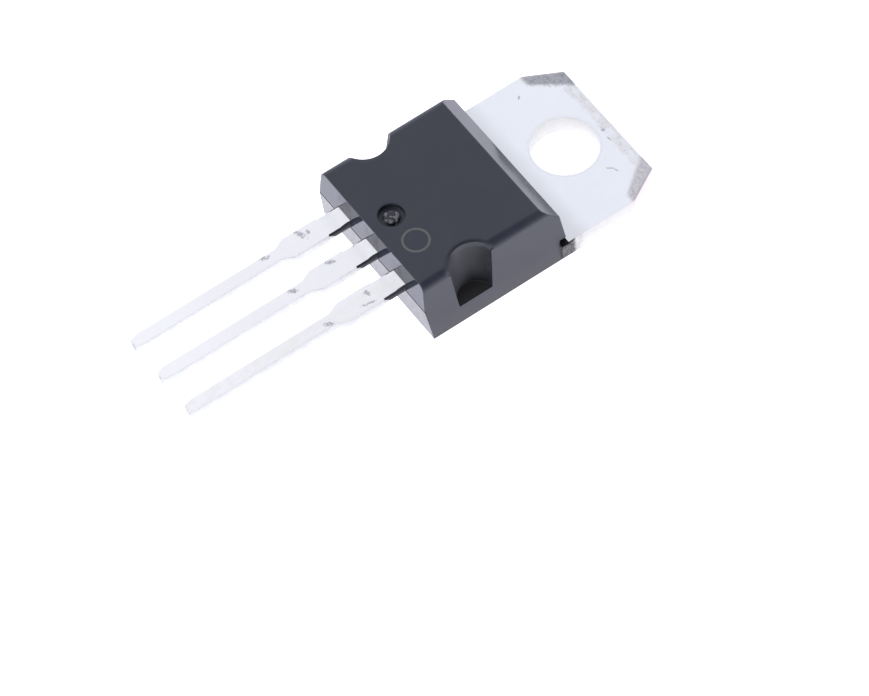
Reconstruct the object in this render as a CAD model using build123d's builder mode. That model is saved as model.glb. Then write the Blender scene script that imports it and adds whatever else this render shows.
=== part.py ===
from build123d import *
import os
from math import atan2, radians, sin, tan

os.makedirs("parts", exist_ok=True)

# Power transistor in a three-lead package with a metal tab. Millimetres.
# Origin: centre of the mounting hole, on the heatsink face (the back).
# +Z leaves the front face, +Y runs to the end of the tab, -Y to the lead tips,
# +X to the right, seen from the front with the tab up.

# ---------------------------------------------------------------- driving sizes
# Moulding
package_height = 4.50        # heatsink face to front face
body_width = 10.30           # across the back
hole_to_body = 3.52          # mounting hole to the moulding's tab end
body_length = 9.16           # tab end to the parting line of the lead end
side_draft = 6.0             # degrees, both long sides
tab_end_draft = 7.0          # degrees, wall above the tab
front_end_draft = 3.5        # degrees, lead end in front of the parting line
back_end_draft = 6.7         # degrees, lead end behind the parting line
tab_end_chamfer = 1.00       # between the front face and the wall above the tab
front_edge_radius = 0.50     # long edges of the front face

# Notches in the moulding's long sides, open to the front
notch_radius = 1.40          # at the front face
notch_draft = 5.9            # degrees
notch_floor_height = 1.30    # above the heatsink face
notch_centre_outset = 0.40   # beyond the long edge of the front face
notch_to_parting = 3.18      # notch centre to the parting line, along Y

# Round ejector-pin mark on the front face, with a low disc left standing in it
pin_mark_diameter = 1.50
pin_mark_depth = 0.32
pin_mark_to_parting = 1.48   # centre to the parting line, along Y
pin_mark_offset = 0.10       # centre to the left of the middle
pin_relief_diameter = 0.88
pin_relief_height = 0.20

# Tab
tab_thickness = 1.27
tab_width = 10.30
hole_diameter = 3.80
hole_to_tab_end = 2.90
corner_clip_width = 1.12     # clipped corner, along X
corner_clip_length = 2.05    # clipped corner, along Y

# Sheared tie bars at the tab's sides, with an open relief in the moulding above them
tie_length = 0.90            # at the foot, along Y, centred on the moulding's tab end
tie_top_length = 0.55        # at the top, from the lead end
tie_thickness = 1.08
tie_foot_height = 0.10       # under the slanting break
tie_lift = 0.12              # heatsink face to the tie bar
tie_stub = 0.03              # stands out from the tab's side
tie_root = 0.60              # inward from the tab's side
tie_relief_height = 0.38
tie_relief_depth = 0.45      # inward from the tab's side

# Header: the plate inside the moulding, bare at the back
neck_width = 5.30
neck_length = 1.08
header_width = 7.00
header_overhang = 0.20       # each side, in front of the coined rebate
rebate_height = 0.50
ear_width = 8.36
ear_length = 1.40
ear_slope_length = 0.26
header_to_parting = 2.43     # header's end to the parting line, room for the bend and the posts
header_corner_radius = 0.14
lock_groove_width = 0.50
lock_groove_depth = 0.22

# Leads
lead_pitch = 2.54
lead_thickness = 0.55
lead_height = 2.50           # heatsink face to the leads' back, and to the parting line
lead_root_width = 1.20
lead_root_length = 1.40      # moulding to the wide stretch
lead_wide_width = 1.36
lead_wide_end = 16.25        # mounting hole to the start of the taper
lead_taper_length = 0.65
lead_width = 0.75
lead_reach = 26.20           # mounting hole to the lead tips
lead_tip_width = 0.48
lead_tip_length = 0.45
post_width = 2.10
post_length = 1.15
post_inset = 0.45            # parting line to the bonding post
bend_width = 1.50            # centre lead inside the moulding
bend_run = 0.95              # along Y, from lead level down to the header
bend_foot = 0.12             # foot of the bend to the header's end

# Chip and bond wires
die_side = 2.40
die_thickness = 0.25
solder_thickness = 0.06
solder_margin = 0.12
die_to_body_end = 4.10       # moulding's tab end to the chip's centre
die_pad_inset = 0.45         # wire centre to the chip's edge
base_wire_diameter = 0.25
emitter_wire_diameter = 0.38
emitter_wire_spacing = 0.90
wire_loop_rise = 0.75        # centre of the loop above the posts
wire_bend_radius = 0.35

# ---------------------------------------------------------------- derived places
body_end = -hole_to_body
parting_end = body_end - body_length
front_half_width = body_width / 2 - package_height * tan(radians(side_draft))
tab_side = tab_width / 2
header_end = parting_end + header_to_parting
tie_start = body_end - tie_length / 2
tie_top = tie_lift + tie_thickness
lead_top = lead_height + lead_thickness
post_end = parting_end + post_inset
post_centre = post_end + post_length / 2
die_centre = body_end - die_to_body_end
die_bottom = tab_thickness + solder_thickness
die_top = die_bottom + die_thickness

# ---------------------------------------------------------------- outer leads
with BuildSketch() as lead_plan:
    with BuildLine():
        Polyline(
            (0, post_end),
            (lead_root_width / 2, post_end),
            (lead_root_width / 2, parting_end - lead_root_length),
            (lead_wide_width / 2, parting_end - lead_root_length),
            (lead_wide_width / 2, -lead_wide_end),
            (lead_width / 2, -lead_wide_end - lead_taper_length),
            (lead_width / 2, -lead_reach + lead_tip_length),
            (lead_tip_width / 2, -lead_reach),
            (0, -lead_reach),
            close=True,
        )
    make_face()
    mirror(about=Plane.YZ)


def outer_lead(lead_x):
    """A stamped lead with its bonding post, centred on lead_x."""
    with BuildPart() as lead:
        with BuildSketch(Plane.XY.offset(lead_height)):
            with Locations((lead_x, 0)):
                add(lead_plan.sketch)
            with Locations((lead_x, post_centre)):
                Rectangle(post_width, post_length)
        extrude(amount=lead_thickness)
    return lead


base_lead = outer_lead(-lead_pitch)
base_lead.part.label = "base_lead"
export_step(base_lead.part, "parts/base_lead.step")

emitter_lead = outer_lead(lead_pitch)
emitter_lead.part.label = "emitter_lead"
export_step(emitter_lead.part, "parts/emitter_lead.step")

# ---------------------------------------------------------------- tab, header, centre lead
neck_end = body_end - neck_length
ear_start = header_end + ear_length
back_half = header_width / 2
front_half = back_half + header_overhang
ear_half = ear_width / 2


def plate_plan(header_half, header_steps):
    """Plan of the stamped plate; header_steps lead from the header's side to its end."""
    with BuildSketch() as plan:
        with BuildLine():
            Polyline(
                (0, hole_to_tab_end),
                (tab_side - corner_clip_width, hole_to_tab_end),
                (tab_side, hole_to_tab_end - corner_clip_length),
                (tab_side, body_end),
                (neck_width / 2, body_end),
                (neck_width / 2, neck_end),
                (header_half, neck_end),
                *header_steps,
                (0, header_end),
                close=True,
            )
        make_face()
        mirror(about=Plane.YZ)
        stamped_corners = plan.vertices().filter_by(
            lambda corner: corner.Y < body_end + header_corner_radius and abs(corner.X) < tab_side
        )
        fillet(stamped_corners, radius=header_corner_radius)
    return plan


eared_end = [(back_half, ear_start + ear_slope_length), (ear_half, ear_start), (ear_half, header_end)]
plain_end = [(front_half, header_end)]

# Side view of the bend, (Y, Z): level with the leads, sloping down, then into the header's end.
foot_y = header_end - bend_foot
bend_drop = lead_top - tab_thickness
bend_slope = atan2(bend_drop, bend_run)
under_shift = lead_thickness / sin(bend_slope)
under_level_y = foot_y - (lead_height - tab_thickness) / tan(bend_slope) - under_shift
under_foot_y = foot_y + lead_thickness / tan(bend_slope) - under_shift

with BuildPart() as heatsink_frame:
    add(plate_plan(back_half, eared_end).sketch)
    extrude(amount=rebate_height)
    with BuildSketch(Plane.XY.offset(rebate_height)):
        add(plate_plan(front_half, plain_end).sketch)
    extrude(amount=tab_thickness - rebate_height)
    Hole(radius=hole_diameter / 2)
    # Groove across the neck, which the moulding grips
    with BuildSketch(Plane.XY.offset(tab_thickness)):
        with Locations((0, body_end - neck_length / 2)):
            Rectangle(neck_width, lock_groove_width)
    extrude(amount=-lock_groove_depth, mode=Mode.SUBTRACT)
    # Stubs of the tie bars, broken off at a slant: side view, (Y, Z)
    with BuildSketch(Plane.YZ.offset(tab_side - tie_root), Plane.YZ.offset(-tab_side - tie_stub)):
        with BuildLine():
            Polyline(
                (tie_start, tie_lift),
                (tie_start + tie_length, tie_lift),
                (tie_start + tie_length, tie_lift + tie_foot_height),
                (tie_start + tie_top_length, tie_top),
                (tie_start, tie_top),
                close=True,
            )
        make_face()
    extrude(amount=tie_root + tie_stub)
    # Centre lead
    with BuildSketch(Plane.YZ):
        with BuildLine():
            Polyline(
                (post_end, lead_height),
                (post_end, lead_top),
                (foot_y - bend_run, lead_top),
                (foot_y, tab_thickness),
                (header_end, tab_thickness),
                (header_end, tab_thickness - lead_thickness),
                (under_foot_y, tab_thickness - lead_thickness),
                (under_level_y, lead_height),
                close=True,
            )
        make_face()
    extrude(amount=bend_width / 2, both=True)
    with BuildSketch(Plane.XY.offset(lead_height)):
        add(lead_plan.sketch)
    extrude(amount=lead_thickness)

heatsink_frame.part.label = "heatsink_frame"
export_step(heatsink_frame.part, "parts/heatsink_frame.step")

# ---------------------------------------------------------------- chip and its solder
with BuildPart() as die_attach:
    with BuildSketch(Plane.XY.offset(tab_thickness)):
        with Locations((0, die_centre)):
            Rectangle(die_side + 2 * solder_margin, die_side + 2 * solder_margin)
    extrude(amount=solder_thickness)

die_attach.part.label = "die_attach"
export_step(die_attach.part, "parts/die_attach.step")

with BuildPart() as transistor_die:
    with BuildSketch(Plane.XY.offset(die_bottom)):
        with Locations((0, die_centre)):
            Rectangle(die_side, die_side)
    extrude(amount=die_thickness)

transistor_die.part.label = "transistor_die"
export_step(transistor_die.part, "parts/transistor_die.step")

# ---------------------------------------------------------------- bond wires
loop_height = lead_top + wire_loop_rise
pad_reach = die_side / 2 - die_pad_inset
wire_ends = {
    "base_bond_wire": (
        base_wire_diameter,
        (-pad_reach, die_centre - pad_reach),
        (-lead_pitch, post_centre),
    ),
    "emitter_bond_wire_1": (
        emitter_wire_diameter,
        (pad_reach - emitter_wire_spacing, die_centre - pad_reach),
        (lead_pitch - emitter_wire_spacing / 2, post_centre),
    ),
    "emitter_bond_wire_2": (
        emitter_wire_diameter,
        (pad_reach, die_centre + pad_reach - emitter_wire_spacing),
        (lead_pitch + emitter_wire_spacing / 2, post_centre),
    ),
}


def bond_wire(diameter, die_pad, post_pad):
    """A wire that rises from the chip, loops over and lands on a post."""
    with BuildPart() as wire:
        with BuildLine():
            FilletPolyline(
                (*die_pad, die_top),
                (*die_pad, loop_height),
                (*post_pad, loop_height),
                (*post_pad, lead_top),
                radius=wire_bend_radius,
            )
        with BuildSketch(Plane.XY.offset(die_top)):
            with Locations(die_pad):
                Circle(diameter / 2)
        sweep()
    return wire


bond_wires = []
for wire_name, wire_sizes in wire_ends.items():
    wire = bond_wire(*wire_sizes)
    wire.part.label = wire_name
    export_step(wire.part, f"parts/{wire_name}.step")
    bond_wires.append(wire)

# ---------------------------------------------------------------- moulding
wall_top = package_height - tab_end_chamfer
wall_top_y = body_end - (wall_top - tab_thickness) * tan(radians(tab_end_draft))
front_end_y = parting_end + (package_height - lead_height) * tan(radians(front_end_draft))
back_end_y = parting_end + lead_height * tan(radians(back_end_draft))
notch_x = front_half_width + notch_centre_outset
notch_y = parting_end + notch_to_parting
notch_depth = package_height - notch_floor_height
relief_outer = body_width / 2 + tie_stub
pin_mark_centre = (-pin_mark_offset, parting_end + pin_mark_to_parting)

with BuildPart() as moulded_body:
    # Side view, (Y, Z), carried across the width
    with BuildSketch(Plane.YZ):
        with BuildLine():
            Polyline(
                (body_end, 0),
                (body_end, tab_thickness),
                (wall_top_y, wall_top),
                (wall_top_y - tab_end_chamfer, package_height),
                (front_end_y, package_height),
                (parting_end, lead_height),
                (back_end_y, 0),
                close=True,
            )
        make_face()
    extrude(amount=body_width / 2, both=True)
    # Drafted long sides
    with BuildSketch(Plane.XZ):
        with BuildLine():
            Polyline(
                (-body_width / 2, 0),
                (body_width / 2, 0),
                (front_half_width, package_height),
                (-front_half_width, package_height),
                close=True,
            )
        make_face()
    extrude(amount=-parting_end, both=True, mode=Mode.INTERSECT)
    front_long_edges = moulded_body.edges().group_by(Axis.Z)[-1].filter_by(Axis.Y)
    fillet(front_long_edges, radius=front_edge_radius)
    # Side notches
    with Locations((notch_x, notch_y, notch_floor_height), (-notch_x, notch_y, notch_floor_height)):
        Cone(
            bottom_radius=notch_radius - notch_depth * tan(radians(notch_draft)),
            top_radius=notch_radius,
            height=notch_depth,
            align=(Align.CENTER, Align.CENTER, Align.MIN),
            mode=Mode.SUBTRACT,
        )
    # Ejector-pin mark and the low disc in it
    with BuildSketch(Plane.XY.offset(package_height)):
        with Locations(pin_mark_centre):
            Circle(pin_mark_diameter / 2)
    extrude(amount=-pin_mark_depth, mode=Mode.SUBTRACT)
    with BuildSketch(Plane.XY.offset(package_height - pin_mark_depth)):
        with Locations(pin_mark_centre):
            Circle(pin_relief_diameter / 2)
    extrude(amount=pin_relief_height)
    # Open reliefs above the tie bars
    with BuildSketch(Plane.XY.offset(tie_top)):
        with Locations(
            ((tab_side - tie_relief_depth + relief_outer) / 2, body_end - tie_length / 4),
            (-(tab_side - tie_relief_depth + relief_outer) / 2, body_end - tie_length / 4),
        ):
            Rectangle(relief_outer - tab_side + tie_relief_depth, tie_length / 2)
    extrude(amount=tie_relief_height, mode=Mode.SUBTRACT)
    # Everything the moulding encloses
    for held in [heatsink_frame, base_lead, emitter_lead, die_attach, transistor_die, *bond_wires]:
        add(held.part, mode=Mode.SUBTRACT)

moulded_body.part.label = "moulded_body"
export_step(moulded_body.part, "parts/moulded_body.step")
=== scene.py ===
"""Looks of a power transistor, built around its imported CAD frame. Metres, in the CAD frame:
the mounting hole's centre on the heatsink face is the origin, +Z leaves the front face,
+Y runs to the end of the tab and -Y to the lead tips."""

import math
from types import SimpleNamespace

import bmesh
import bpy
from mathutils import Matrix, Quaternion, Vector


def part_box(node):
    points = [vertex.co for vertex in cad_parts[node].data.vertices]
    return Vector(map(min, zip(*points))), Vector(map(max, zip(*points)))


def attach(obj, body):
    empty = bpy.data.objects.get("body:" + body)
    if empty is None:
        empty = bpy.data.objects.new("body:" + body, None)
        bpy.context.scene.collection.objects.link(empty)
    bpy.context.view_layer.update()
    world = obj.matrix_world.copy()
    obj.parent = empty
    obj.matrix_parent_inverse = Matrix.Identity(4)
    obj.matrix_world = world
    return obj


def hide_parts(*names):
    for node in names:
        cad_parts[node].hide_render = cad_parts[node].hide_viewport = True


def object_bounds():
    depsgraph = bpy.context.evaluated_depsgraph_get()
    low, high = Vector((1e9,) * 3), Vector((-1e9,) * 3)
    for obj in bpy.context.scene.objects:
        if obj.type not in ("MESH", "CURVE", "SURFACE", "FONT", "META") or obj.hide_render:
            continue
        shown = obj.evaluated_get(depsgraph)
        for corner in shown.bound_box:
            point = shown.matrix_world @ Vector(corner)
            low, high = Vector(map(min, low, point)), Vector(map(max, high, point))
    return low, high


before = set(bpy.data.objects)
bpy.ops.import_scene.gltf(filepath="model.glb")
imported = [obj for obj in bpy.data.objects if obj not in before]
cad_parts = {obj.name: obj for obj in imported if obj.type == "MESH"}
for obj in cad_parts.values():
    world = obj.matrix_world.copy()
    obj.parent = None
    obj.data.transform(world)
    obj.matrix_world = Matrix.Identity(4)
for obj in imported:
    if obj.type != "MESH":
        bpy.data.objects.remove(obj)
cad_box = [list(corner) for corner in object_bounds()]

MM = 0.001
TOUCH = 0.001 * MM  # places this close count as the same
BODY = "root"

# ---------------------------------------------------------------- sizes read from the frame
FLAT = 0.999  # least upright part of the normal of a level face
NOTCH_REACH = 1.5 * MM  # along Y, from a notch's middle to beyond its ends
PIN_REACH = 0.45 * MM  # the ejector-pin mark is shallower than this

case_low, case_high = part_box("moulded_body")
plate_low, plate_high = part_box("heatsink_frame")
lead_low, lead_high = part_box("emitter_lead")


def corners_of(node):
    """The node's mesh corners, in the CAD frame."""
    return [vertex.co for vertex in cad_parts[node].data.vertices]


def middle(values):
    """Half way between the least and the greatest value."""
    values = list(values)
    return (min(values) + max(values)) / 2


# Tab
plate_corners = corners_of("heatsink_frame")
tab_end = plate_high.y
tab_side = max(corner.x for corner in plate_corners if corner.y > 0)
tab_top = max(corner.z for corner in plate_corners if corner.y > 0)
clip_side_y = max(corner.y for corner in plate_corners if corner.x > tab_side - TOUCH)
clip_end_x = max(corner.x for corner in plate_corners if corner.y > tab_end - TOUCH)
hole_radius = min(corner.xy.length for corner in plate_corners)

# Stubs of the tie bars at the tab's sides
stub_corners = [corner for corner in plate_corners if corner.x > tab_side + 5 * TOUCH]
stub_end = max(corner.y for corner in stub_corners)
stub_top = max(corner.z for corner in stub_corners)

# Leads: their pitch, and where the narrow root beside the case ends
lead_pitch = middle((lead_low.x, lead_high.x))
lead_root_end = max(
    corner.y
    for corner in corners_of("emitter_lead")
    if corner.y < case_low.y - TOUCH and corner.x > lead_pitch + TOUCH
)

# The case's notches and pin mark, found by their floors
case_corners = corners_of("moulded_body")
case_floors = [
    face.center
    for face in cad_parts["moulded_body"].data.polygons
    if face.normal.z > FLAT and face.center.z < case_high.z - TOUCH
]
notch_floor_z = max(
    floor.z for floor in case_floors if floor.x > lead_high.x and floor.z < lead_low.z
)
notch_floor_edge = [
    corner
    for corner in case_corners
    if abs(corner.z - notch_floor_z) < TOUCH and corner.x > lead_high.x
]
notch_y = middle(corner.y for corner in notch_floor_edge)
side_lean = (case_high.x - max(corner.x for corner in notch_floor_edge)) / notch_floor_z
notch_rim = [
    corner
    for corner in case_corners
    if corner.z > case_high.z - TOUCH
    and corner.x > lead_high.x
    and abs(corner.y - notch_y) < NOTCH_REACH
]
notch_deepest = min(corner.x for corner in notch_rim)
notch_chord = max(corner.x for corner in notch_rim) - notch_deepest
notch_half = max(abs(corner.y - notch_y) for corner in notch_rim)
notch_radius = (notch_half**2 + notch_chord**2) / (2 * notch_chord)
pin_floor_z = min(floor.z for floor in case_floors if floor.z > case_high.z - PIN_REACH)
pin_rim = [corner for corner in case_corners if abs(corner.z - pin_floor_z) < TOUCH]
pin_x = middle(corner.x for corner in pin_rim)
pin_y = middle(corner.y for corner in pin_rim)

# ---------------------------------------------------------------- pieces from the CAD solids
WELD = 0.1e-6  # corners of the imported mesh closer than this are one
COPLANAR = math.radians(0.3)
PARTING_TURN = math.radians(5)  # least turn at the parting line
CURVE_STEP = math.radians(24)  # facets of a curved wall turn by less than this
CORNER_TURN = math.radians(48)  # corners that stay sharp
CASE_RADIUS = 0.05 * MM
METAL_RADIUS = 0.012 * MM
GROOVE_HALF = 0.06 * MM  # half the width of the groove along the parting line
GROOVE_DEPTH = 0.06 * MM


def copied_solid(node):
    """The node's surface as a bmesh, with its coplanar facets joined."""
    surface = bmesh.new()
    surface.from_mesh(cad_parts[node].data)
    bmesh.ops.remove_doubles(surface, verts=surface.verts[:], dist=WELD)
    bmesh.ops.dissolve_limit(
        surface, angle_limit=COPLANAR, verts=surface.verts[:], edges=surface.edges[:]
    )
    return surface


def bevel(surface, edges, offset, **more):
    """Two-segment bevel of the edges."""
    return bmesh.ops.bevel(
        surface,
        geom=edges,
        offset=offset,
        offset_type="OFFSET",
        segments=2,
        profile=0.5,
        affect="EDGES",
        **more,
    )


def round_edges(surface, radius, wanted):
    """Rounds the sharp edges that wanted picks by their middle point."""
    picked = [
        edge
        for edge in surface.edges
        if edge.is_manifold
        and edge.calc_face_angle() > CURVE_STEP
        and wanted((edge.verts[0].co + edge.verts[1].co) / 2)
    ]
    bevel(surface, picked, radius, clamp_overlap=True)


def cut_parting_groove(surface):
    """A fine groove along the parting line of the lead end."""
    furthest_out = case_low.y + 0.01 * MM

    def at_parting(vertex, reach):
        return abs(vertex.co.z - lead_low.z) < GROOVE_HALF * reach

    line = [
        edge
        for edge in surface.edges
        if edge.is_manifold
        and PARTING_TURN < edge.calc_face_angle() < CURVE_STEP
        and all(vertex.co.y < furthest_out for vertex in edge.verts)
    ]
    cut = bevel(surface, line, GROOVE_HALF)
    for vertex in cut["verts"]:
        if at_parting(vertex, 0.3):
            vertex.co.y += GROOVE_DEPTH
    for edge in surface.edges:
        if all(
            at_parting(vertex, 1.2) and vertex.co.y < case_low.y + GROOVE_DEPTH * 2
            for vertex in edge.verts
        ):
            edge.smooth = False


def finish_piece(surface, name, node, material):
    """Shows the bmesh as a piece that stands for its CAD node."""
    mesh = bpy.data.meshes.new(name)
    for face in surface.faces:
        face.smooth = True
    for edge in surface.edges:
        if edge.is_manifold and edge.calc_face_angle() > CORNER_TURN:
            edge.smooth = False
    surface.to_mesh(mesh)
    surface.free()
    mesh.materials.append(material)
    piece = bpy.data.objects.new(name, mesh)
    bpy.context.scene.collection.objects.link(piece)
    weighted = piece.modifiers.new("weighted_normals", "WEIGHTED_NORMAL")
    weighted.weight = 100
    weighted.keep_sharp = True
    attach(piece, BODY)
    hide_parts(node)


# ---------------------------------------------------------------- material graphs
MARK_RAGGEDNESS = 7.0
MARK_EDGE = (3.6, 5.0)  # where a mark's raggedness and squared reach together fade it out


class Graph:
    """Shorthand for one material's node tree. Its position is in millimetres in the CAD frame."""

    def __init__(self, name):
        self.material = bpy.data.materials.new(name)
        self.material.use_nodes = True
        self.nodes = self.material.node_tree.nodes
        self.links = self.material.node_tree.links
        self.shader = self.nodes["Principled BSDF"]
        place = self.nodes.new("ShaderNodeTexCoord").outputs["Object"]
        self.position = self.vector("SCALE", place, 1 / MM)
        self.x, self.y, self.z = self.split(self.position)
        facing = self.nodes.new("ShaderNodeTexCoord").outputs["Normal"]
        self.nx, self.ny, self.nz = self.split(facing)

    def put(self, socket, value):
        """Links the value to the socket where it is another node's, and else writes it there."""
        if isinstance(value, bpy.types.NodeSocket):
            self.links.new(value, socket)
        else:
            socket.default_value = value

    # Arithmetic
    def split(self, vector):
        node = self.nodes.new("ShaderNodeSeparateXYZ")
        self.links.new(vector, node.inputs[0])
        return node.outputs

    def vector(self, operation, a, b):
        node = self.nodes.new("ShaderNodeVectorMath")
        node.operation = operation
        self.put(node.inputs[0], a)
        self.put(node.inputs["Scale"] if operation == "SCALE" else node.inputs[1], b)
        return node.outputs["Vector"]

    def math(self, operation, a, b=0.0):
        node = self.nodes.new("ShaderNodeMath")
        node.operation = operation
        self.put(node.inputs[0], a)
        self.put(node.inputs[1], b)
        return node.outputs[0]

    def gather(self, operation, values):
        """The values joined one after another by the operation."""
        result = values[0]
        for value in values[1:]:
            result = self.math(operation, result, value)
        return result

    def times(self, *factors):
        return self.gather("MULTIPLY", factors)

    def add(self, *terms):
        return self.gather("ADD", terms)

    def most(self, *values):
        return self.gather("MAXIMUM", values)

    def less(self, a, b):
        return self.math("SUBTRACT", a, b)

    def size(self, value):
        return self.math("ABSOLUTE", value)

    # Masks
    def span(self, value, low, high, to_low=0.0, to_high=1.0, smooth=True):
        """value from low..high carried to to_low..to_high, and held beyond."""
        node = self.nodes.new("ShaderNodeMapRange")
        node.interpolation_type = "SMOOTHSTEP" if smooth else "LINEAR"
        keys = ("Value", "From Min", "From Max", "To Min", "To Max")
        for key, item in zip(keys, (value, low, high, to_low, to_high)):
            self.put(node.inputs[key], item)
        return node.outputs[0]

    def below(self, value, low, high, smooth=True):
        """1 up to low, falling to 0 at high."""
        return self.span(value, low, high, 1.0, 0.0, smooth)

    def outside(self, mask, left=0.0):
        """1 outside the mask, and left inside it."""
        return self.span(mask, 0.0, 1.0, 1.0, left)

    def within(self, value, low, high, soft):
        """1 from low to high, fading to 0 over soft beyond each."""
        return self.times(self.span(value, low - soft, low), self.below(value, high, high + soft))

    def distance(self, x, y, mirrored=False):
        """Distance from the upright line through (x, y), or from its mirror image's."""
        across = self.size(self.x) if mirrored else self.x
        off_x, off_y = self.less(across, x), self.less(self.y, y)
        squares = self.add(self.times(off_x, off_x), self.times(off_y, off_y))
        return self.math("SQRT", squares)

    # Patterns
    def noise(self, scale, detail=2.0, roughness=0.5, stretch=None, seed=0.0):
        node = self.nodes.new("ShaderNodeTexNoise")
        place = self.position
        if stretch:
            place = self.vector("MULTIPLY", place, stretch)
        if seed:
            place = self.vector("ADD", place, (seed, seed, seed))
        self.links.new(place, node.inputs["Vector"])
        node.inputs["Scale"].default_value = scale
        node.inputs["Detail"].default_value = detail
        node.inputs["Roughness"].default_value = roughness
        return node.outputs[0]

    def specks(self, scale, size, share, seed=0.0):
        """Sparse round specks: share of the cells have one, of radius size in cells."""
        node = self.nodes.new("ShaderNodeTexVoronoi")
        place = self.vector("ADD", self.position, (seed, seed, seed))
        self.links.new(place, node.inputs["Vector"])
        node.inputs["Scale"].default_value = scale
        chosen = self.span(self.split(node.outputs["Color"])[0], 1 - share, 1 - share + 0.01)
        return self.times(chosen, self.below(node.outputs["Distance"], size * 0.5, size))

    def mark(self, ragged, x, y, length, width, angle):
        """A long or round mark centred on (x, y), with an outline as ragged as the noise."""
        turn = math.radians(angle)
        off_x, off_y = self.less(self.x, x), self.less(self.y, y)
        along = self.add(self.times(off_x, math.cos(turn)), self.times(off_y, math.sin(turn)))
        across = self.less(self.times(off_y, math.cos(turn)), self.times(off_x, math.sin(turn)))
        reach = self.add(
            self.math("POWER", self.size(self.times(along, 2 / length)), 2.0),
            self.math("POWER", self.size(self.times(across, 2 / width)), 2.0),
            self.times(ragged, MARK_RAGGEDNESS),
        )
        return self.below(reach, *MARK_EDGE)

    # Colour and relief
    def blend(self, factor, a, b):
        """Colour a where the factor is 0, and b where it is 1."""
        node = self.nodes.new("ShaderNodeMix")
        node.data_type = "RGBA"
        self.put(node.inputs["Factor"], factor)
        for socket, value in zip(node.inputs[6:8], (a, b)):  # the node's two colour sockets
            self.put(socket, value if isinstance(value, bpy.types.NodeSocket) else (*value, 1.0))
        return node.outputs[2]

    def layered(self, tone, *layers):
        """The tone with layers laid over it in turn: each a mask, its strength and a colour."""
        for mask, strength, colour in layers:
            tone = self.blend(self.times(mask, strength), tone, colour)
        return tone

    def bump(self, height, distance, worn=None):
        """Relief of the given distance, and edges that look worn round by the radius worn."""
        node = self.nodes.new("ShaderNodeBump")
        node.inputs["Distance"].default_value = distance
        self.links.new(height, node.inputs["Height"])
        self.links.new(node.outputs["Normal"], self.shader.inputs["Normal"])
        if worn:
            edge = self.nodes.new("ShaderNodeBevel")
            edge.samples = 6
            self.put(edge.inputs["Radius"], worn)
            self.links.new(edge.outputs["Normal"], node.inputs["Normal"])


def mm(value):
    """Metres as millimetres."""
    return value / MM


# The frame's sizes in millimetres, as the graphs count
CASE_SIDE = mm(case_high.x)  # at the foot of the long sides
CASE_TOP = mm(case_high.z)
TAB_WALL = mm(case_high.y)  # the case's tab end
LEAD_WALL = mm(case_low.y)  # the case's lead end, at the parting line
NOTCH_Y = mm(notch_y)
NOTCH_FLOOR = mm(notch_floor_z)
NOTCH_RADIUS = mm(notch_radius)
TAB_SIDE = mm(tab_side)
TAB_END = mm(tab_end)
CLIP_Y = mm(clip_side_y)
STUB_TOP = mm(stub_top)
STUB_END = mm(stub_end)
PITCH = mm(lead_pitch)
LEAD_BACK = mm(lead_low.z)  # height of the leads' backs, and of the parting line
LEAD_FRONT = mm(lead_high.z)


def from_lead(g):
    """Distance along X from the middle line of the nearest lead."""
    return g.size(g.less(g.size(g.less(g.size(g.x), PITCH / 2)), PITCH / 2))


def before_wall(g):
    """1 on the leads and on the wall that they come out of."""
    return g.below(g.y, LEAD_WALL + 0.3, LEAD_WALL + 0.4)


# ---------------------------------------------------------------- moulding compound
EPOXY_IOR = 1.55
SPARK_DEPTH = 0.006 * MM  # of the texture's bump
EDGE_WEAR = (0.13 * MM, 0.03 * MM)  # away from the notches, and beside them
RING_RADIUS = 0.72
RING_X = CASE_SIDE * 0.385
RING_Y = LEAD_WALL + 1.59
RELIEF_DEPTH = 0.5  # just beyond its own, from the tab's side and from the tab end
RELIEF_HEIGHT = 0.39
CHAMFER_FOOT = 1.45  # from the tab end to the front's edge at the chamfer
SEAM_HALF = 0.065  # half the width of the dark parting line
NOTCH_HALF = 1.6  # along Y, just beyond a notch's ends
RIM_WIDTH = 0.26  # of the dark line round the notches on the front: a painted dark reflection


def moulding_patterns(g):
    """Noises that several of the moulding's areas share."""
    return SimpleNamespace(
        cloud=g.noise(0.55, 3.0),
        mottle=g.noise(2.6, 4.0, 0.6, seed=11.0),
        grain=g.noise(20.0, 3.0, 0.6),
        fine=g.noise(70.0, 2.0, 0.5, seed=3.0),
        drawn=g.noise(2.4, 3.0, 0.6, stretch=(1.0, 1.0, 0.5), seed=31.0),
    )


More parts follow.
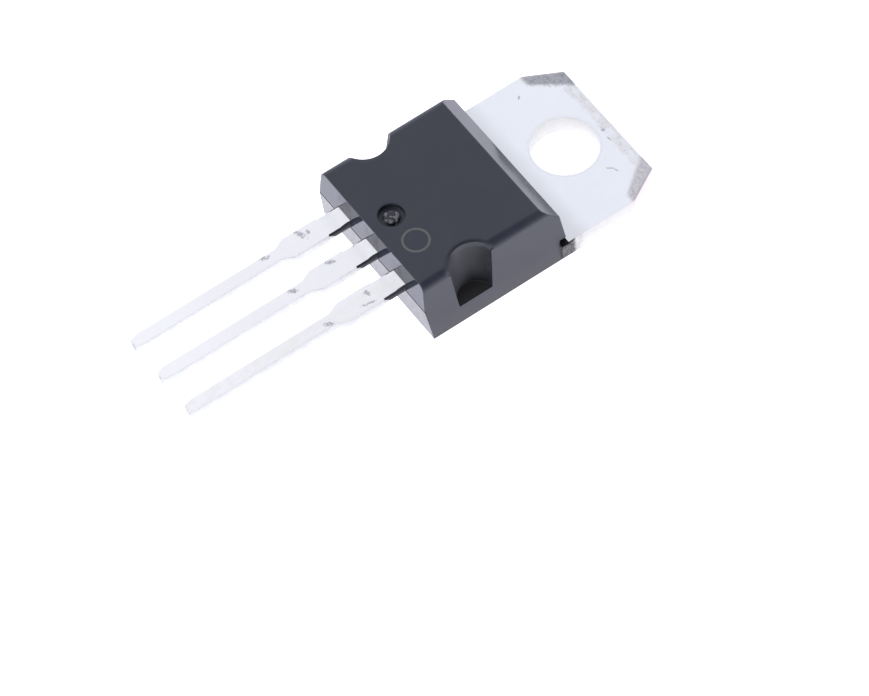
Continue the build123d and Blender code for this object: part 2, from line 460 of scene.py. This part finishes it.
def moulding_areas(g, pattern):
    """Masks of the case's areas: 1 inside, 0 outside."""
    at = SimpleNamespace()
    at.sides = g.span(g.size(g.nx), 0.6, 0.9)
    at.back = g.below(g.nz, -0.9, -0.6)
    ragged_height = g.add(g.z, g.times(pattern.mottle, -0.5))
    at.foot = g.times(at.sides, g.below(ragged_height, -0.10, 0.22))
    at.top = g.span(g.z, CASE_TOP - 0.10, CASE_TOP - 0.05)
    # Open reliefs above the stubs of the tie bars
    at.relief = g.times(
        g.span(g.size(g.x), TAB_SIDE - RELIEF_DEPTH, TAB_SIDE - RELIEF_DEPTH + 0.06),
        g.span(g.y, TAB_WALL - RELIEF_DEPTH, TAB_WALL - RELIEF_DEPTH + 0.06),
        g.within(g.z, STUB_TOP, STUB_TOP + RELIEF_HEIGHT, 0.01),
    )
    # Both end walls, and on the lead end: below the parting line, on it and above the leads
    near_ends = g.most(
        g.span(g.y, TAB_WALL - CHAMFER_FOOT, TAB_WALL - CHAMFER_FOOT + 0.15),
        g.below(g.y, LEAD_WALL + 0.22, LEAD_WALL + 0.36),
    )
    at.ends = g.times(g.span(g.size(g.ny), 0.35, 0.6), near_ends, g.outside(at.relief))
    lead_end = g.times(at.ends, before_wall(g))
    at.under_seam = g.below(g.z, LEAD_BACK - 0.04, LEAD_BACK)
    at.lower_wall = g.times(lead_end, at.under_seam)
    at.seam = g.times(lead_end, g.within(g.z, LEAD_BACK - SEAM_HALF, LEAD_BACK + SEAM_HALF, 0.02))
    above_lead = g.times(
        g.below(from_lead(g), 0.60, 0.66), g.span(g.z, LEAD_FRONT, LEAD_FRONT + 0.1)
    )
    at.strip = g.times(lead_end, above_lead)
    # Notches: their walls, their floors, and the line round them on the front, a painted dark
    # reflection
    at.inward = g.less(CASE_SIDE, g.add(g.size(g.x), g.times(g.z, side_lean)))
    inside = g.span(at.inward, 0.03, 0.06)
    at.notch = g.times(
        g.within(g.y, NOTCH_Y - NOTCH_HALF, NOTCH_Y + NOTCH_HALF, 0.02),
        inside,
        g.below(g.nz, 0.12, 0.25),
        g.span(g.size(g.nx), 0.2, 0.3),
    )
    at.notch_floor = g.times(inside, g.within(g.z, NOTCH_FLOOR - 0.03, NOTCH_FLOOR + 0.03, 0.02))
    from_notch = g.distance(mm(notch_deepest + notch_radius), NOTCH_Y, mirrored=True)
    at.beside_notch = g.below(from_notch, NOTCH_RADIUS + 0.25, NOTCH_RADIUS + 0.35)
    at.rim = g.below(from_notch, NOTCH_RADIUS, NOTCH_RADIUS + RIM_WIDTH, smooth=False)
    # Plain etched ring on the front, and the disc in the pin mark
    wobble = g.times(g.less(pattern.fine, 0.5), 0.05)
    from_ring = g.add(g.distance(RING_X, RING_Y), wobble)
    at.ring = g.times(
        g.within(from_ring, RING_RADIUS - 0.05, RING_RADIUS + 0.05, 0.03),
        at.top,
        g.span(pattern.grain, 0.25, 0.55, 0.55, 1.0),
    )
    in_front = g.span(g.z, CASE_TOP - mm(PIN_REACH), CASE_TOP - mm(PIN_REACH) + 0.05)
    at.pin_disc = g.times(in_front, g.below(g.distance(mm(pin_x), mm(pin_y)), 0.44, 0.52))
    return at


def moulding_tone(g, pattern, at):
    """Blue-black epoxy with dust and haze, and painted shade, light and highlights where the areas
    need them.
    """
    epoxy = g.blend(
        g.span(pattern.cloud, 0.3, 0.7), (0.0190, 0.0240, 0.0450), (0.0275, 0.0325, 0.0530)
    )
    sparks = g.span(pattern.grain, 0.40, 0.75)
    dust = g.specks(3.2, 0.09, 0.14, seed=7.0)
    lint = g.specks(7.5, 0.12, 0.10, seed=19.0)
    specks = g.times(g.most(dust, g.times(lint, 0.6)), g.span(at.ends, 0.0, 1.0, 0.45, 0.2))
    rubbed = g.times(at.sides, g.span(g.z, 0.0, 1.8, 0.45, 0.0))
    haze = g.times(at.ends, g.span(pattern.mottle, 0.42, 0.66))
    lower_wall = g.blend(pattern.mottle, (0.018, 0.018, 0.004), (0.036, 0.035, 0.016))
    above_leads = g.blend(
        g.span(pattern.drawn, 0.42, 0.60), (0.002, 0.003, 0.014), (0.020, 0.024, 0.048)
    )
    # A notch's wall: painted light towards its floor and towards the leads, painted shade away from
    # the leads
    low = g.below(g.z, NOTCH_FLOOR, NOTCH_FLOOR + 1.6)
    painted_light_toward_floor = g.blend(low, (0.036, 0.038, 0.044), (0.058, 0.062, 0.072))
    shade = g.span(g.y, NOTCH_Y - 0.5, NOTCH_Y + 0.5)
    notch_wall = g.blend(shade, painted_light_toward_floor, (0.002, 0.003, 0.006))
    pin_highlights = g.times(at.pin_disc, g.span(g.noise(4.3, 2.0, 0.6, seed=5.0), 0.53, 0.60))
    return g.layered(
        epoxy,
        (sparks, 0.35, (0.034, 0.036, 0.052)),
        (specks, 1.0, (0.13, 0.13, 0.13)),
        # Painted shade: the long sides darker than the front
        (at.sides, 0.75, (0.008, 0.010, 0.015)),
        (rubbed, 1.0, (0.055, 0.054, 0.056)),
        (at.foot, 0.8, (0.070, 0.064, 0.058)),
        (haze, 0.6, (0.044, 0.046, 0.040)),
        (at.lower_wall, 1.0, lower_wall),
        # Painted shade: the strips above the leads on the lead-end wall
        (at.strip, 1.0, above_leads),
        (at.seam, 1.0, (0.004, 0.004, 0.006)),
        # Painted light and painted shade on the notches' walls
        (at.notch, 1.0, notch_wall),
        (at.notch_floor, 1.0, (0.052, 0.052, 0.052)),
        # Painted dark reflection along the rounded rim round the notches
        (g.times(at.rim, at.top), 0.5, (0.004, 0.005, 0.012)),
        # Painted shade in the case's reliefs above the tie bars' stubs
        (at.relief, 1.0, (0.016, 0.016, 0.017)),
        (at.ring, 0.9, (0.160, 0.165, 0.148)),
        # Painted shade in the ejector-pin mark, and painted highlights on its raised figures
        (at.pin_disc, 1.0, (0.008, 0.009, 0.015)),
        (pin_highlights, 0.8, (0.24, 0.24, 0.26)),
    )


def moulding_gloss(g, pattern, at):
    """Roughness: satin on the front and the sides, glossier on the ends."""
    satin = g.add(
        g.span(pattern.cloud, 0.3, 0.7, 0.40, 0.46),
        g.times(at.sides, -0.06),
        g.times(at.ring, 0.2),
        g.times(at.foot, 0.15),
        g.times(at.notch, 0.18),
        g.times(at.relief, 0.3),
    )
    glossy = g.add(
        g.span(pattern.mottle, 0.35, 0.70, 0.045, 0.12),
        g.times(at.under_seam, 0.13),
        g.times(at.seam, 0.4),
        g.times(at.strip, g.span(pattern.drawn, 0.45, 0.60, 0.16, 0.0)),
    )
    return g.add(g.times(satin, g.outside(at.ends)), g.times(glossy, at.ends))


def moulding_relief(g, pattern, at):
    """Height of the spark texture, the dust at the foot, and the slope down to the notches."""
    texture = g.add(
        g.times(pattern.grain, 0.7), g.times(pattern.fine, 0.3), g.times(at.foot, pattern.mottle)
    )
    return g.add(
        g.times(texture, g.outside(at.ends, 0.12)),
        g.times(pattern.mottle, at.ends, 0.08),
        g.times(at.back, pattern.cloud, 0.4),
        g.times(at.rim, at.rim, g.span(at.inward, 0.0, 0.05), -11.0),
    )


def moulding_material():
    """Black epoxy: fine spark texture on the front and the sides, glossier ends."""
    g = Graph("moulding_epoxy")
    pattern = moulding_patterns(g)
    at = moulding_areas(g, pattern)
    g.put(g.shader.inputs["Base Color"], moulding_tone(g, pattern, at))
    g.put(g.shader.inputs["Roughness"], moulding_gloss(g, pattern, at))
    g.shader.inputs["IOR"].default_value = EPOXY_IOR
    worn = g.span(at.beside_notch, 0.0, 1.0, *EDGE_WEAR)
    g.bump(moulding_relief(g, pattern, at), SPARK_DEPTH, worn=worn)
    return g.material


def make_case():
    """Moulded case with the small radii that a mould leaves on its outer edges."""
    surface = copied_solid("moulded_body")
    outer = tab_side - 0.9 * MM  # beyond the notches' depth
    above = lead_high.z + 0.3 * MM  # clear of the leads
    cut_parting_groove(surface)

    def on_outside(spot):
        """On the long sides or above the leads, but for the notches' floors."""
        if abs(spot.z - notch_floor_z) < TOUCH and abs(spot.y - notch_y) < NOTCH_REACH:
            return False
        return abs(spot.x) > outer or spot.z > above

    round_edges(surface, CASE_RADIUS, on_outside)
    finish_piece(surface, "moulded_case", "moulded_body", moulding_material())


# ---------------------------------------------------------------- tinned copper
TIN_IOR = 1.25
DRAWN_DEPTH = 0.003 * MM  # of the texture's bump
SMOOTH_LENGTH = 2.6  # of the leads, where they are smoother beside the case
ROOT_LENGTH = 0.8  # of the leads, where a ramp turns them from the light and painted light whitens them
COPPER_FROM = 0.85  # height at which the clipped corners turn to bare copper
LEAD_MARKS = (  # lead, x beside its middle, y from the case, length, width, angle
    (-1, -0.32, 2.58, 0.75, 0.34, 20),
    (-1, -0.20, 2.17, 0.34, 0.20, 0),
    (-1, -0.21, 4.94, 0.50, 0.28, 75),
    (0, -0.47, 2.34, 0.60, 0.26, 60),
    (0, -0.14, 4.95, 0.56, 0.28, 70),
    (0, -0.62, 0.74, 0.24, 0.16, 0),
    (1, -0.22, 1.91, 0.42, 0.26, 30),
    (1, 0.38, 2.20, 0.80, 0.15, 81),
    (1, 0.20, 4.61, 0.60, 0.24, 65),
)
TAB_MARKS = (  # x, y, length, width, angle
    (-4.07, -0.10, 0.28, 0.12, -36),
    (2.63, 1.07, 0.36, 0.08, 52),
    (2.93, 1.28, 0.42, 0.08, 20),
    (0.40, 2.30, 0.24, 0.18, 40),
    (1.05, 2.20, 0.36, 0.08, 5),
)


def tin_patterns(g):
    """Noises that several of the tin's areas share."""
    return SimpleNamespace(
        cloud=g.noise(0.9, 3.0),
        blotch=g.noise(2.2, 3.0, 0.6, seed=2.0),
        drawn=g.noise(6.0, 3.0, 0.6, stretch=(6.0, 0.5, 6.0)),
        grain=g.noise(30.0, 2.0, 0.5),
        ragged=g.noise(8.0, 3.0, 0.7, seed=4.0),
        streaks=g.noise(3.2, 3.0, 0.7, stretch=(1.6, 2.6, 1.0), seed=8.0),
        patches=g.noise(1.9, 4.0, 0.75, seed=21.0),
    )


def tin_areas(g, pattern):
    """Masks of the tinned pieces' areas: 1 inside, 0 outside."""
    at = SimpleNamespace()
    at.upper = g.span(g.nz, 0.5, 0.8)
    at.sheared = g.below(g.size(g.nz), 0.2, 0.45)
    # Leads: all of them, their smoother part and root, a worn side and the tips
    at.leads = g.below(g.y, LEAD_WALL - 0.2, LEAD_WALL + 0.2)
    at.near_case = g.times(at.leads, g.span(g.y, LEAD_WALL - SMOOTH_LENGTH, LEAD_WALL - 0.4))
    at.root = g.span(g.y, LEAD_WALL - ROOT_LENGTH, LEAD_WALL + 0.1, smooth=False)
    worn_side = g.span(g.x, mm(lead_high.x) - 1.4, mm(lead_high.x) - 1.3)
    at.worn = g.times(at.leads, worn_side, g.span(pattern.blotch, 0.4, 0.6))
    tip = mm(plate_low.y)
    at.tips = g.times(g.below(g.ny, -0.8, -0.6), g.below(g.y, tip + 0.05, tip + 0.1))
    # The tab beside the case
    beside_case = g.within(g.y, TAB_WALL, TAB_WALL + 0.4, 1.3)
    at.shaded = g.times(beside_case, g.outside(at.leads))
    return at


def add_clip_areas(g, pattern, at):
    """Clipped corners: tin smeared beside the cut, and bare copper on the cut itself."""
    clip_x, clip_y = mm(tab_side - clip_end_x), TAB_END - CLIP_Y
    clip_length = math.hypot(clip_x, clip_y)
    along = g.less(g.y, CLIP_Y)
    at.outward = g.add(
        g.times(g.less(g.size(g.x), TAB_SIDE), clip_y / clip_length),
        g.times(along, clip_x / clip_length),
    )
    at.left = g.below(g.x, -0.1, 0.1)
    raggedness = g.span(at.left, 0.0, 1.0, 0.3, 0.8)
    reach = g.add(
        g.span(along, 0.0, clip_y, 0.58, 1.0, smooth=False),
        g.times(at.left, 0.08),
        g.times(g.less(pattern.streaks, 0.5), raggedness),
    )
    inward = g.math("DIVIDE", g.times(at.outward, -1.0), reach)
    at.smear = g.times(g.below(inward, 0.75, 1.15), g.span(along, -0.25, 0.1), at.upper)
    on_cut = g.times(at.sheared, g.span(at.outward, -0.12, -0.04))
    at.copper = g.times(on_cut, g.span(g.z, COPPER_FROM, COPPER_FROM + 0.30))


def add_edge_areas(g, pattern, at):
    """The rolled-over end edge and hole edge, and the rubbed band with specks beside the end."""
    end_line = g.add(g.y, g.times(pattern.ragged, 0.08))
    end_line = g.within(end_line, TAB_END - 0.14, TAB_END - 0.07, 0.05)
    hole_edge = mm(hole_radius)
    hole_line = g.within(g.distance(0.0, 0.0), hole_edge + 0.06, hole_edge + 0.13, 0.06)
    at.edge_lines = g.times(g.most(end_line, g.times(hole_line, 0.4)), at.upper)
    near_end = g.add(g.y, g.times(pattern.blotch, 0.5))
    near_end = g.within(near_end, TAB_END - 0.30, TAB_END + 0.10, 0.22)
    at.near_end = g.times(near_end, at.upper, g.below(at.smear, 0.0, 0.3))
    at.specks = g.times(
        at.near_end, g.span(pattern.patches, 0.45, 0.55), g.span(pattern.ragged, 0.54, 0.64)
    )


def add_stains(g, pattern, at):
    """Single scratches and stains."""
    spots = [
        g.mark(pattern.ragged, lead * PITCH + x, LEAD_WALL - y, length, width, angle)
        for lead, x, y, length, width, angle in LEAD_MARKS
    ]
    spots += [g.mark(pattern.ragged, *sizes) for sizes in TAB_MARKS]
    at.stains = g.times(g.most(*spots), at.upper)


def add_resin_areas(g, pattern, at):
    """Resin flash beside the roots of the leads, the torn stubs of the tie bars, and painted shadow
    on the tab under the case's corner reliefs.
    """
    past_step = g.add(g.less(g.y, mm(lead_root_end)), g.times(pattern.ragged, 0.10), -0.05)
    sunk = g.less(LEAD_FRONT, g.z)
    flash = g.times(
        g.span(g.less(g.span(past_step, 0.0, 0.8, 0.24, 0.8), sunk), 0.0, 0.03),
        g.span(past_step, 0.0, 0.06),
        g.span(g.size(g.nx), 0.75, 0.9),
    )
    crept = g.add(from_lead(g), g.span(past_step, 0.4, 1.1, 0.0, 0.10))
    crept = g.less(crept, g.times(pattern.ragged, 0.08))
    crept = g.times(g.span(crept, 0.60, 0.62), at.upper, g.span(past_step, 0.3, 0.5))
    on_leads = g.times(g.most(flash, crept), before_wall(g))

    beside_tab = g.span(g.size(g.x), TAB_SIDE - 0.02, TAB_SIDE)
    ragged_y = g.add(g.y, g.times(pattern.ragged, 0.3))
    at.stub = g.times(beside_tab, g.below(ragged_y, STUB_END, STUB_END + 0.22))
    flank = g.times(at.stub, g.below(g.ny, -0.8, -0.5))
    # Painted shadow: the tab's top under the case's corner relief
    relief_shadow = g.times(
        g.span(g.size(g.x), TAB_SIDE - 0.9, TAB_SIDE - 0.8),
        g.within(g.z, STUB_TOP - 0.06, STUB_TOP + 0.03, 0.01),
        g.below(g.y, STUB_END - 0.1, STUB_END),
    )
    at.resin = g.most(on_leads, flank, relief_shadow)
    beside_stub = g.within(g.y, STUB_END - 0.3, STUB_END + 0.3, 0.4)
    at.rubbed = g.times(beside_tab, beside_stub, g.span(pattern.blotch, 0.35, 0.6))


def sheared_tone(g, pattern, at):
    """Sheared faces: duller than the rolled ones, and darker towards the front."""
    tab = g.blend(pattern.blotch, (0.56, 0.56, 0.52), (0.68, 0.67, 0.61))
    leads = g.blend(pattern.blotch, (0.47, 0.475, 0.45), (0.62, 0.62, 0.58))
    risen = g.less(g.z, g.times(at.leads, LEAD_BACK))
    thickness = g.span(at.leads, 0.0, 1.0, mm(tab_top), LEAD_FRONT - LEAD_BACK)
    fading = g.span(risen, 0.1, thickness, 1.06, 0.90)
    return g.vector("SCALE", g.blend(at.leads, tab, leads), fading)


def smear_tone(g, pattern, at):
    """Smeared tin: pinkish grey on the right corner, dark grey on the left one."""
    right = g.blend(g.span(pattern.streaks, 0.35, 0.7), (0.56, 0.545, 0.56), (0.75, 0.735, 0.75))
    left = g.blend(g.span(pattern.streaks, 0.3, 0.7), (0.28, 0.29, 0.32), (0.52, 0.52, 0.55))
    tone = g.blend(at.left, right, left)
    return g.blend(g.span(at.outward, -0.16, -0.05), tone, (0.56, 0.52, 0.54))


def tin_tone(g, pattern, at):
    """Pale tin, with what wear, shearing, stains and resin lay over it, and painted light and shade
    beside the case.
    """
    tin = g.blend(pattern.cloud, (0.865, 0.887, 0.922), (0.910, 0.928, 0.950))
    lead_tin = g.blend(pattern.blotch, (0.915, 0.915, 0.920), (0.950, 0.950, 0.945))
    toward_tips = g.span(g.y, mm(lead_low.y) + 1.0, mm(lead_low.y) + 7.0, 0.7, 0.0)
    torn = g.span(pattern.ragged, 0.35, 0.65)
    return g.layered(
        tin,
        (at.shaded, 0.30, (0.42, 0.425, 0.43)),
        (at.leads, 1.0, lead_tin),
        (at.near_case, 1.0, (0.93, 0.93, 0.935)),
        # Painted light: the leads whitened at their roots beside the case
        (g.times(at.leads, g.span(at.root, 0.0, 0.6)), 1.0, (1.0, 1.0, 1.0)),
        (toward_tips, 1.0, (1.0, 1.0, 1.0)),
        (at.worn, 0.6, (0.90, 0.89, 0.85)),
        (at.sheared, 1.0, sheared_tone(g, pattern, at)),
        (at.tips, 1.0, g.blend(torn, (0.20, 0.20, 0.20), (0.60, 0.60, 0.58))),
        (at.smear, 0.92, smear_tone(g, pattern, at)),
        (at.copper, 1.0, (0.62, 0.53, 0.50)),
        (at.edge_lines, 0.16, (0.40, 0.41, 0.43)),
        (at.near_end, g.span(pattern.patches, 0.38, 0.58, 0.2, 1.0), (0.79, 0.785, 0.79)),
        (at.specks, 0.6, (0.50, 0.49, 0.50)),
        (at.stains, 0.85, (0.42, 0.42, 0.45)),
        (at.rubbed, 0.7, (0.40, 0.385, 0.36)),
        (at.stub, 1.0, g.blend(torn, (0.07, 0.069, 0.067), (0.21, 0.202, 0.19))),
        # Resin, and painted shadow under the case's corner reliefs
        (at.resin, 1.0, (0.012, 0.013, 0.016)),
    )


def tin_gloss(g, pattern, at):
    """Roughness: satin, duller where the tin is smeared or torn."""
    return g.add(
        g.span(pattern.drawn, 0.3, 0.7, 0.33, 0.41),
        g.times(at.smear, 0.12),
        g.times(at.stub, 0.2),
        g.times(at.near_case, -0.04),
    )


def tin_relief(g, pattern, at):
    """Height of the drawn texture, the marks, and the ramp that dims the leads' roots."""
    texture = g.add(
        g.times(pattern.drawn, 0.5),
        g.times(pattern.grain, 0.5),
        g.times(at.smear, pattern.streaks, 2.0),
    )
    return g.add(
        g.times(texture, g.outside(at.near_case, 0.15)),
        g.times(at.stub, pattern.ragged, 8.0),
        g.times(at.stains, -0.8),
        g.times(at.root, at.root, 33.0),
    )


def tin_material():
    """Satin tin over stamped copper, with stains, scratches and resin left beside the case, and
    painted shadow under its corner reliefs.
    """
    g = Graph("tin_plating")
    pattern = tin_patterns(g)
    at = tin_areas(g, pattern)
    for add_areas in (add_clip_areas, add_edge_areas, add_stains, add_resin_areas):
        add_areas(g, pattern, at)
    g.put(g.shader.inputs["Base Color"], tin_tone(g, pattern, at))
    g.put(g.shader.inputs["Metallic"], g.outside(at.resin))
    g.put(g.shader.inputs["Roughness"], tin_gloss(g, pattern, at))
    g.shader.inputs["IOR"].default_value = TIN_IOR
    g.bump(tin_relief(g, pattern, at), DRAWN_DEPTH)
    return g.material


def make_metal():
    """The three tinned pieces, with finely broken edges."""
    tin = tin_material()
    for node, name in (
        ("heatsink_frame", "tinned_frame"),
        ("base_lead", "tinned_base_lead"),
        ("emitter_lead", "tinned_emitter_lead"),
    ):
        surface = copied_solid(node)
        round_edges(surface, METAL_RADIUS, lambda spot: True)
        finish_piece(surface, name, node, tin)


# ---------------------------------------------------------------- sealed inner pieces
INNER_FINISHES = {  # dark and light tone, roughness, grains to the millimetre
    "polished_silicon": ((0.16, 0.17, 0.20), (0.22, 0.23, 0.27), 0.12, 4.0),
    "soft_solder": ((0.40, 0.41, 0.43), (0.55, 0.56, 0.58), 0.42, 7.0),
    "aluminium_wire": ((0.72, 0.73, 0.75), (0.84, 0.85, 0.87), 0.25, 12.0),
}
INNER_NODES = {
    "polished_silicon": ("transistor_die",),
    "soft_solder": ("die_attach",),
    "aluminium_wire": ("base_bond_wire", "emitter_bond_wire_1", "emitter_bond_wire_2"),
}


def plain_metal(name, dark, light, roughness, grain):
    """A mottled metal."""
    g = Graph(name)
    mottle = g.noise(grain, 2.0)
    g.put(g.shader.inputs["Base Color"], g.blend(mottle, dark, light))
    g.shader.inputs["Metallic"].default_value = 1.0
    g.put(g.shader.inputs["Roughness"], g.span(mottle, 0.3, 0.7, roughness, roughness + 0.12))
    g.bump(mottle, 0.004 * MM)
    return g.material


def finish_inside():
    """The sealed CAD nodes keep their meshes and get their materials."""
    for finish, nodes in INNER_NODES.items():
        material = plain_metal(finish, *INNER_FINISHES[finish])
        for node in nodes:
            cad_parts[node].data.materials[0] = material


make_case()
make_metal()
finish_inside()


# ---------------------------------------------------------------- floor, light and camera
FLOOR_HALF = 1.5
FLOOR_GAP = 0.01 * MM  # under the part, so that the two don't share a plane
FLOOR_TONE = (0.80, 0.80, 0.84, 1)
FLOOR_GLOW = (1, 1, 1.15, 1)
SKY = 1.0
SKY_TINT = (1.0, 1.01, 1.08, 1)
DARK_TOWARDS = Vector((0.50, 0.15, 0.85)).normalized()  # unlit ceiling over the camera
DARK_SKY = 0.15
DARK_INNER = math.radians(30)  # all dark up to here
DARK_OUTER = math.radians(50)  # all light from here
VIEW_AZIMUTH = math.radians(58.30)
VIEW_ELEVATION = math.radians(57.10)
VIEW_ROLL = math.radians(-4.57)
VIEW_DISTANCE = 280.8 * MM
VIEW_AIM = Vector((5.60, -12.71, 0)) * MM
LENS = 219.6
SENSOR = 36.0


def make_floor():
    """A lit table under the part."""
    half, level = FLOOR_HALF, cad_box[0][2] - FLOOR_GAP
    mesh = bpy.data.meshes.new("floor")
    corners = [(-half, -half, level), (half, -half, level), (half, half, level), (-half, half, level)]
    mesh.from_pydata(corners, [], [(0, 1, 2, 3)])
    floor = bpy.data.objects.new("floor", mesh)
    bpy.context.scene.collection.objects.link(floor)
    material = bpy.data.materials.new("light_table")
    material.use_nodes = True
    shader = material.node_tree.nodes["Principled BSDF"]
    shader.inputs["Base Color"].default_value = FLOOR_TONE
    shader.inputs["Roughness"].default_value = 0.9
    shader.inputs["Emission Color"].default_value = FLOOR_GLOW
    shader.inputs["Emission Strength"].default_value = 1.2
    mesh.materials.append(material)


def make_world():
    """Even light from all round, but for a dark patch of ceiling."""
    world = bpy.data.worlds.new("studio")
    bpy.context.scene.world = world
    world.use_nodes = True
    nodes, links = world.node_tree.nodes, world.node_tree.links
    direction = nodes.new("ShaderNodeTexCoord").outputs["Generated"]
    nearness = nodes.new("ShaderNodeVectorMath")
    nearness.operation = "DOT_PRODUCT"
    links.new(direction, nearness.inputs[0])
    nearness.inputs[1].default_value = DARK_TOWARDS
    light = nodes.new("ShaderNodeMapRange")
    light.interpolation_type = "SMOOTHSTEP"
    links.new(nearness.outputs["Value"], light.inputs["Value"])
    light.inputs["From Min"].default_value = math.cos(DARK_OUTER)
    light.inputs["From Max"].default_value = math.cos(DARK_INNER)
    light.inputs["To Min"].default_value = SKY
    light.inputs["To Max"].default_value = DARK_SKY
    links.new(light.outputs[0], nodes["Background"].inputs["Strength"])
    nodes["Background"].inputs["Color"].default_value = SKY_TINT


def make_camera():
    """The photograph's viewing angle, from far off with a long lens."""
    back = Vector(
        (
            math.sin(VIEW_AZIMUTH) * math.cos(VIEW_ELEVATION),
            -math.cos(VIEW_AZIMUTH) * math.cos(VIEW_ELEVATION),
            math.sin(VIEW_ELEVATION),
        )
    )
    camera_data = bpy.data.cameras.new("camera")
    camera_data.sensor_fit = "HORIZONTAL"
    camera_data.sensor_width = SENSOR
    camera_data.lens = LENS
    camera_data.clip_start = 0.01
    camera_data.clip_end = 10
    camera = bpy.data.objects.new("camera", camera_data)
    camera.location = VIEW_AIM + back * VIEW_DISTANCE
    camera.rotation_mode = "QUATERNION"
    camera.rotation_quaternion = (-back).to_track_quat("-Z", "Y") @ Quaternion((0, 0, 1), VIEW_ROLL)
    bpy.context.scene.collection.objects.link(camera)
    bpy.context.scene.camera = camera


make_floor()
make_world()
make_camera()
bpy.context.scene.view_settings.view_transform = "Standard"
